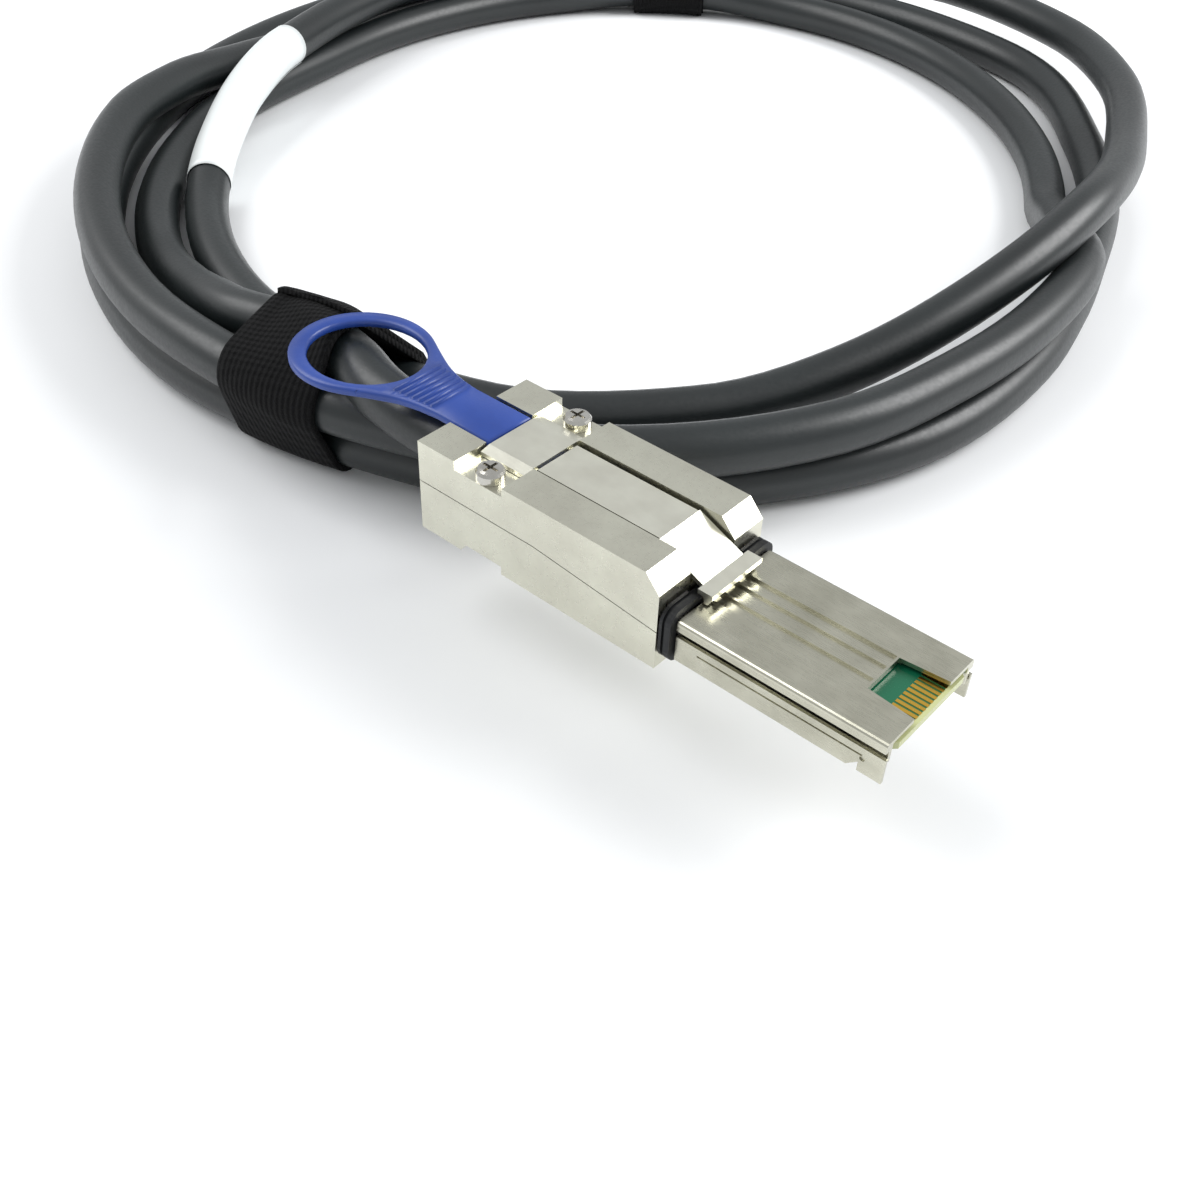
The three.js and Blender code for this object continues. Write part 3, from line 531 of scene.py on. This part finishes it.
    def plane(self, angle: float) -> tuple[Vector, Vector, Vector]:
        """The upright plane through the oval's centre at an angle.

        Args:
            angle: degrees clockwise.

        Returns:
            Its origin, the way out and the way along the strands.
        """
        theta = math.radians(-angle)
        out = Vector((math.cos(theta), math.sin(theta), 0.0))
        return self.shift + self.centre, out, Vector((math.sin(theta), -math.cos(theta), 0.0))


@dataclass
class Cable:
    """The jacketed cable, one free cord from plug to plug."""

    route: CoilRoute
    bevel_steps: int = 8

    def build(self, frame: dict, far_tab: bpy.types.Object) -> bpy.types.Object:
        """Args:
            far_tab: the far plug's pull tab, which hangs on the cable with the plug; not used.

        Returns:
            The cable.
        """
        curve = bpy.data.curves.new("cable", "CURVE")
        curve.dimensions = "3D"
        curve.bevel_depth = self.route.radius
        curve.bevel_resolution = self.bevel_steps
        curve.use_fill_caps = True
        points = self.route.line()
        spline = curve.splines.new("POLY")
        spline.points.add(len(points) - 1)
        for slot, point in zip(spline.points, points):
            slot.co = (*point, 1.0)
        spline.use_smooth = True
        curve.materials.append(JACKET.build())
        obj = bpy.data.objects.new("cable", curve)
        bpy.context.scene.collection.objects.link(obj)
        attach(obj, Body.ASSEMBLY.value)
        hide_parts("cable_coil", "cable_near", "cable_far")
        self.route.length()
        LOG.info("cable: %d points, %.3f m", len(points), self.route.length())
        return obj


@dataclass
class Strap:
    """A hook and loop strap wrapped round the turns at one place, with its free end pressed on top.

    Angles are degrees clockwise round the oval.
    """

    name: str
    node: str
    route: CoilRoute
    angle: float
    crossing: list[Vector]
    width: float = 0.0185
    thick: float = 0.0009
    gap: float = 0.0001
    count: int = 72
    rows: int = 12
    lap_from: float = 100.0
    lap_to: float = 235.0
    lap_share: float = 0.97
    lap_gap: float = 0.00006
    off_surface: float = 0.00008
    crossing_reach: float = 0.003
    hull_ways: int = 180
    hull_facing: float = 0.05
    thread: float = 0.001
    rib_share: float = 0.4
    fuzz_scale: float = 3200.0
    weave_depth: float = 0.00028
    weave_strength: float = 0.9
    gloss: float = 0.25

    def strands(self, angle: float) -> list[Vector]:
        """Where the turns pass an angle."""
        found, a = [], angle % 360
        while a <= self.route.turns[-1][0]:
            if a >= self.route.turns[0][0]:
                found.append(self.route.point(a))
            a += 360
        return found

    def flat(self, points: list[Vector]) -> list[Vector]:
        """Points as distance out and height in the strap's plane."""
        origin, out, _ = self.route.plane(self.angle)
        return [Vector(((p - origin).dot(out), p.z)) for p in points]

    def near(self, points: list[Vector], low: float, high: float) -> list[Vector]:
        """Those of the points that lie between two distances along the strands."""
        origin, out, way = self.route.plane(self.angle)
        return [p for p in points if low <= (p - origin).dot(way) <= high and (p - origin).dot(out) > 0]

    def hull(self, strands: list[Vector], radius: float) -> list[Vector]:
        """An outline that hugs round strands.

        Args:
            strands: their middles in the plane.
            radius: how far the outline stands off each middle.

        Returns:
            Points of the outline, evenly turned.
        """
        mid = sum(strands, Vector((0.0, 0.0))) / len(strands)
        turns = [2 * math.pi * k / self.hull_ways for k in range(self.hull_ways)]
        ways = [Vector((math.cos(t), math.sin(t))) for t in turns]
        reach = [max((p - mid).dot(w) for p in strands) + radius for w in ways]
        out = []
        for i in range(self.count):
            a = 2 * math.pi * i / self.count
            d = Vector((math.cos(a), math.sin(a)))
            best = min(r / d.dot(w) for r, w in zip(reach, ways) if d.dot(w) > self.hull_facing)
            out.append(Vector((mid.x + best * d.x, max(self.off_surface, mid.y + best * d.y))))
        return out

    def section(self, offset: float) -> list[Vector]:
        """The middles that the strap goes round at one distance along the strands."""
        angle = self.angle + math.degrees(offset / self.route.long)
        crossing = self.near(self.crossing, offset - self.crossing_reach, offset + self.crossing_reach)
        return self.flat([*self.strands(angle), *crossing])

    def ring(self, offset: float, radius: float) -> list[Vector]:
        """One edge line of the strap, in the row frame."""
        origin, out, way = self.route.plane(self.angle)
        base = Vector((origin.x, origin.y, 0.0))
        outline = self.hull(self.section(offset), radius)
        return [base + out * p.x + way * offset + Vector((0, 0, p.y)) for p in outline]

    def band(
        self, inner: float, outer: float, half: float, start: int, stop: int
    ) -> tuple[list[Vector], list[tuple]]:
        """A closed band between two distances from the strands.

        Args:
            inner: stand-off of the inner face.
            outer: stand-off of the outer face.
            half: half the width.
            start: first step round the strands.
            stop: last step, or the first plus the count for a whole ring.

        Returns:
            Points and faces.
        """
        offsets = [half * (2 * k / self.rows - 1) for k in range(self.rows + 1)]
        loops = [self.ring(x, outer) for x in offsets] + [self.ring(x, inner) for x in reversed(offsets)]
        whole = stop - start >= self.count
        steps = list(range(start, stop if whole else stop + 1))
        points = [loop[s % self.count] for s in steps for loop in loops]
        n = len(loops)
        faces = []
        for i in range(len(steps) if whole else len(steps) - 1):
            a, b = i * n, (i + 1) % len(steps) * n
            faces += [(a + j, b + j, b + (j + 1) % n, a + (j + 1) % n) for j in range(n)]
        if not whole:
            faces.append(tuple(range(n)))
            faces.append(tuple(reversed(range((len(steps) - 1) * n, len(steps) * n))))
        return points, faces

    def build(self) -> bpy.types.Object:
        """Returns:
            The strap.
        """
        inner = self.route.radius + self.gap
        outer = inner + self.thick
        points, faces = self.band(inner, outer, self.width / 2, 0, self.count)
        lap = self.band(
            outer + self.lap_gap,
            outer + self.thick,
            self.width / 2 * self.lap_share,
            round(self.lap_from / 360 * self.count),
            round(self.lap_to / 360 * self.count),
        )
        base = len(points)
        points = [*points, *lap[0]]
        faces = [*faces, *[tuple(base + i for i in face) for face in lap[1]]]
        obj = mesh_piece(self.name, points, faces, self.material())
        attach(obj, Body.ASSEMBLY.value)
        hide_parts(self.node)
        edge = self.ring(0.0, outer)
        return obj

    def material(self) -> bpy.types.Material:
        """The webbing with its woven grid of threads, drawn at twice the real pitch so that it shows.

        Returns:
            The material.
        """
        material, graph, surface = WEBBING.graph()
        place = graph.add("ShaderNodeTexCoord").outputs["Object"]
        _, out, way = self.route.plane(self.angle)
        fuzz = graph.add("ShaderNodeTexNoise", {"Vector": place, "Scale": self.fuzz_scale, "Detail": 5.0})
        height = fuzz.outputs["Fac"]
        for direction in (way, out):
            along = graph.add(
                "ShaderNodeVectorMath", {0: place, 1: tuple(direction)}, operation="DOT_PRODUCT"
            ).outputs["Value"]
            turns = graph.add("ShaderNodeMath", {0: along, 1: 2 * math.pi / self.thread}, operation="MULTIPLY")
            rib = graph.add("ShaderNodeMath", {0: turns.outputs[0]}, operation="SINE").outputs[0]
            height = graph.add(
                "ShaderNodeMath", {0: rib, 1: self.rib_share, 2: height}, operation="MULTIPLY_ADD"
            ).outputs[0]
        bump = graph.add(
            "ShaderNodeBump", {"Height": height, "Distance": self.weave_depth, "Strength": self.weave_strength}
        )
        colour = graph.ramp(fuzz.outputs["Fac"], [(0.35, linear(WEBBING.shade)), (0.7, linear(WEBBING.colour))])
        links = graph.tree.links
        links.new(colour, surface.inputs["Base Color"])
        links.new(bump.outputs["Normal"], surface.inputs["Normal"])
        surface.inputs["Roughness"].default_value = WEBBING.roughness
        surface.inputs["Specular IOR Level"].default_value = self.gloss
        return material


@dataclass
class Label:
    """A blank white film wound once round the last turn, with its lap along the side."""

    route: CoilRoute
    start: float = 1203.0
    stop: float = 1241.0
    film: float = 0.00028
    sheet: float = 0.00006
    start_share: float = 0.35
    lap_at: float = 0.9
    sides: int = 40
    steps: int = 30

    def build(self) -> bpy.types.Object:
        """Makes the label as a thin sleeve whose end laps over its start.

        Returns:
            The label.
        """
        turn = (self.stop - self.start) / self.steps
        line = [self.route.point(self.start + turn * i) for i in range(self.steps + 1)]
        points, faces = [], []
        n = self.sides
        for i, middle in enumerate(line):
            ahead = (line[min(i + 1, self.steps)] - line[max(i - 1, 0)]).normalized()
            side = ahead.cross(Vector((0, 0, 1))).normalized()
            up = side.cross(ahead)
            for j in range(n + 1):
                a = 2 * math.pi * j / n - self.lap_at
                r = self.route.radius + self.film * (self.start_share + (1 - self.start_share) * j / n)
                points.append(middle + side * (r * math.cos(a)) + up * (r * math.sin(a)))
        row = n + 1
        for i in range(self.steps):
            faces += [
                (i * row + j, i * row + j + 1, (i + 1) * row + j + 1, (i + 1) * row + j) for j in range(n)
            ]
        obj = mesh_piece("label_film", points, faces, FILM.build())
        shell = obj.modifiers.new("film", "SOLIDIFY")
        shell.thickness = self.sheet
        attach(obj, Body.ASSEMBLY.value)
        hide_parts("cable_label")
        LOG.info("label: %d points", len(points))
        return obj


@dataclass
class PullTab:
    """The moulded pull tab, whose neck widens into the ring in one smooth line.

    It is the CAD node's own form with the outline of the neck drawn anew. Sizes are in millimetres in the plug's
    own frame, and a row of the neck is a distance along it and its half width there.
    """

    end: str
    origin: Vector
    turn: float
    finish: bpy.types.Material
    neck: tuple[tuple[float, float], ...] = (
        (-3.0, 3.9), (-6.0, 4.25), (-9.5, 5.2), (-13.0, 6.85), (-16.4, 8.66), (-18.0, 9.38),
    )
    meets_ring: float = -16.4
    hole_x: float = -20.7
    hole_long: float = 8.8
    hole_wide: float = 7.9
    hole_rim: float = 0.65
    ridge_from: float = -5.1
    ridge_half: float = 3.72
    ridge_slope: float = 0.114
    bevel: float = 0.3
    low: float = 12.37
    top: float = 13.67
    near_face: float = 0.05
    neck_steps: int = 8
    crease: float = 32.0

    def half_width(self, x: float) -> float:
        """Half the neck's width at a distance along it."""
        line = catmull([Vector((*row, 0.0)) for row in self.neck], self.neck_steps)
        for a, b in zip(line, line[1:]):
            if x >= b.x:
                return a.y + (b.y - a.y) * (a.x - x) / (a.x - b.x)
        return line[-1].y

    def on_neck(self, corner: Vector) -> bool:
        """Tells whether a corner lies on the neck's outline, and not on the hole or a grip ridge.

        Args:
            corner: its place in the plug's own frame, in millimetres.

        Returns:
            True on the outline.
        """
        along = self.meets_ring < corner.x < self.neck[0][0]
        if not along or not self.low - self.near_face <= corner.z < self.top + self.near_face:
            return False
        ridge = self.ridge_half - self.ridge_slope * (corner.x - self.ridge_from)
        reach = 1 - ((corner.x - self.hole_x) / self.hole_long) ** 2
        hole = self.hole_wide * math.sqrt(reach) + self.hole_rim if reach > 0 else 0.0
        return abs(corner.y) > max(ridge, hole)

    def build(self, frame: dict) -> bpy.types.Object:
        """Makes the tab from the node's form and puts it in the node's place.


        Returns:
            The tab.
        """
        node = frame["nodes"][f"{self.end}_pull_tab"]
        place = Matrix.Translation(self.origin) @ Matrix.Rotation(math.radians(self.turn), 4, "Z")
        back = place.inverted()
        work = bmesh.new()
        work.from_mesh(node.data)
        bmesh.ops.remove_doubles(work, verts=work.verts, dist=1e-7)
        bmesh.ops.dissolve_limit(work, angle_limit=0.001, verts=work.verts, edges=work.edges)
        for corner in work.verts:
            local = (back @ corner.co) / MM
            if self.on_neck(local):
                to_face = min(abs(local.z - self.low), abs(local.z - self.top))
                inset = self.bevel if to_face < self.near_face else 0.0
                local.y = math.copysign(self.half_width(local.x) - inset, local.y)
                corner.co = place @ (local * MM)
        bmesh.ops.remove_doubles(work, verts=work.verts, dist=2e-6)
        bmesh.ops.dissolve_degenerate(work, dist=1e-6, edges=work.edges)
        bmesh.ops.triangulate(work, faces=work.faces)
        mesh = bpy.data.meshes.new(f"{self.end}_moulded_tab")
        work.to_mesh(mesh)
        work.free()
        mesh.polygons.foreach_set("use_smooth", [True] * len(mesh.polygons))
        mesh.set_sharp_from_angle(angle=math.radians(self.crease))
        mesh.materials.append(self.finish)
        obj = bpy.data.objects.new(f"{self.end}_moulded_tab", mesh)
        bpy.context.scene.collection.objects.link(obj)
        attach(obj, Body(f"{self.end}_tab").value)
        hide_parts(f"{self.end}_pull_tab")
        LOG.info("%s tab: %d faces", self.end, len(mesh.polygons))
        return obj


@dataclass
class Plug:
    """One latching plug: the shapes are the CAD nodes, and this gives each its finish."""

    end: str
    origin: Vector
    turn: float
    finishes: dict[str, bpy.types.Material]

    def dress(self, frame: dict) -> bpy.types.Object:
        """Gives every node of the plug its finish, and makes its pull tab.


        Returns:
            The pull tab.
        """
        board = BoardFinish(f"{self.end}_gold_plated_laminate", self.origin, self.turn).build()
        named = {**self.finishes, "paddle_board": board}
        tab = PullTab(self.end, self.origin, self.turn, named.pop("pull_tab")).build(frame)
        for part, material in named.items():
            node = frame["nodes"][f"{self.end}_{part}"]
            node.data.materials.clear()
            node.data.materials.append(material)
        LOG.info("%s plug: %d nodes dressed", self.end, len(named))
        return tab


@dataclass
class Studio:
    """A plain pale surface, soft light, and the camera at the photograph's angle."""

    azimuth: float = 129.29
    elevation: float = 41.19
    roll: float = 2.69
    lens: float = 41.4
    place: Vector = field(default_factory=lambda: Vector((0.1093, -0.1058, 0.1139)))
    aim: Vector = field(default_factory=lambda: Vector((0.0, 0.06, 0.0)))
    key: Vector = field(default_factory=lambda: Vector((0.42, 0.52, 0.52)))
    key_size: float = 0.5
    key_watts: float = 6.3
    fill: Vector = field(default_factory=lambda: Vector((-0.7, -0.35, 0.8)))
    fill_size: float = 0.8
    fill_watts: float = 7.5
    sky: str = "#eef0f2"
    sky_strength: float = 0.7
    sweep_half: float = 4.0

    def build(self) -> None:
        """Makes the surface, the lights, the surroundings and the camera."""
        self.surface()
        target = NEAR_ORIGIN + self.aim
        self.softbox("key", target + self.key, target, self.key_size, self.key_watts)
        self.softbox("fill", target + self.fill, target, self.fill_size, self.fill_watts)
        world = bpy.data.worlds.new("studio")
        world.use_nodes = True
        background = next(n for n in world.node_tree.nodes if n.type == "BACKGROUND")
        background.inputs["Color"].default_value = linear(self.sky)
        background.inputs["Strength"].default_value = self.sky_strength
        bpy.context.scene.world = world
        bpy.context.scene.view_settings.view_transform = "Standard"
        self.camera()

    def surface(self) -> None:
        """Makes the pale surface under the part."""
        finish = Finish("pale_paper_sweep", "#f4f5f6", "#f0f1f2", 0.75, 0.03, 0.0, 3.0, 1.0, 0.004, 90.0)
        half = self.sweep_half
        corners = [Vector((x, y, 0.0)) for x, y in ((-half, -half), (half, -half), (half, half), (-half, half))]
        mesh_piece("sweep", corners, [(0, 1, 2, 3)], finish.build())

    def softbox(self, name: str, place: Vector, target: Vector, size: float, power: float) -> None:
        """Adds one square soft light.

        Args:
            name: its name.
            place: where it hangs.
            target: what it faces.
            size: the length of its side.
            power: its power in watts.
        """
        light = bpy.data.lights.new(name, "AREA")
        light.shape = "SQUARE"
        light.size = size
        light.energy = power
        obj = bpy.data.objects.new(name, light)
        obj.location = place
        obj.rotation_euler = (target - place).to_track_quat("-Z", "Y").to_euler()
        bpy.context.scene.collection.objects.link(obj)

    def camera(self) -> None:
        """Makes the camera."""
        az, el, roll = (math.radians(v) for v in (self.azimuth, self.elevation, self.roll))
        ahead = Vector((math.cos(el) * math.cos(az), math.cos(el) * math.sin(az), -math.sin(el)))
        right = Vector((math.sin(az), -math.cos(az), 0.0))
        up = right.cross(ahead)
        right, up = (
            right * math.cos(roll) + up * math.sin(roll),
            up * math.cos(roll) - right * math.sin(roll),
        )
        data = bpy.data.cameras.new("camera")
        data.lens = self.lens
        data.sensor_width = 36.0
        data.clip_start = 0.01
        obj = bpy.data.objects.new("camera", data)
        turn = Matrix((right, up, -ahead)).transposed().to_4x4()
        obj.matrix_world = Matrix.Translation(NEAR_ORIGIN + self.place) @ turn
        bpy.context.scene.collection.objects.link(obj)
        bpy.context.scene.camera = obj


def plug_finishes() -> dict[str, bpy.types.Material]:
    """The finishes that both plugs share, by part.

    Returns:
        Part name to material.
    """
    casting, stamped, latch, screw = (f.build() for f in (CASTING, STAMPED, LATCH_PAINTED_HIGHLIGHT, SCREW))
    rubber, tab, cores = (f.build() for f in (RUBBER, TAB, CORES))
    return {
        "upper_housing": casting, "lower_housing": casting, "cable_clamp": casting, "nose_shell": stamped,
        "nose_tray": stamped, "latch_bracket": latch, "latch_lever": latch, "lever_pin": screw,
        "latch_spring": screw, "screw_left": screw, "screw_right": screw, "gasket": rubber, "pull_tab": tab,
        "wire_bundle": cores,
    }


def main() -> None:
    """Builds the scene in order."""
    logging.basicConfig(level=logging.INFO, format="%(name)s: %(message)s")
    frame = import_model()
    finishes = plug_finishes()
    Plug("near", NEAR_ORIGIN, 0.0, finishes).dress(frame)
    far_tab = Plug("far", FAR_ORIGIN, FAR_TURN, finishes).dress(frame)
    route = CoilRoute()
    Cable(route).build(frame, far_tab)
    Strap("near_webbing", "near_strap", route, route.near_strap, route.lead_line()).build()
    Strap("far_webbing", "far_strap", route, route.far_strap, route.tail_line()).build()
    Label(route).build()
    Studio().build()


if __name__ == "__main__":
    main()
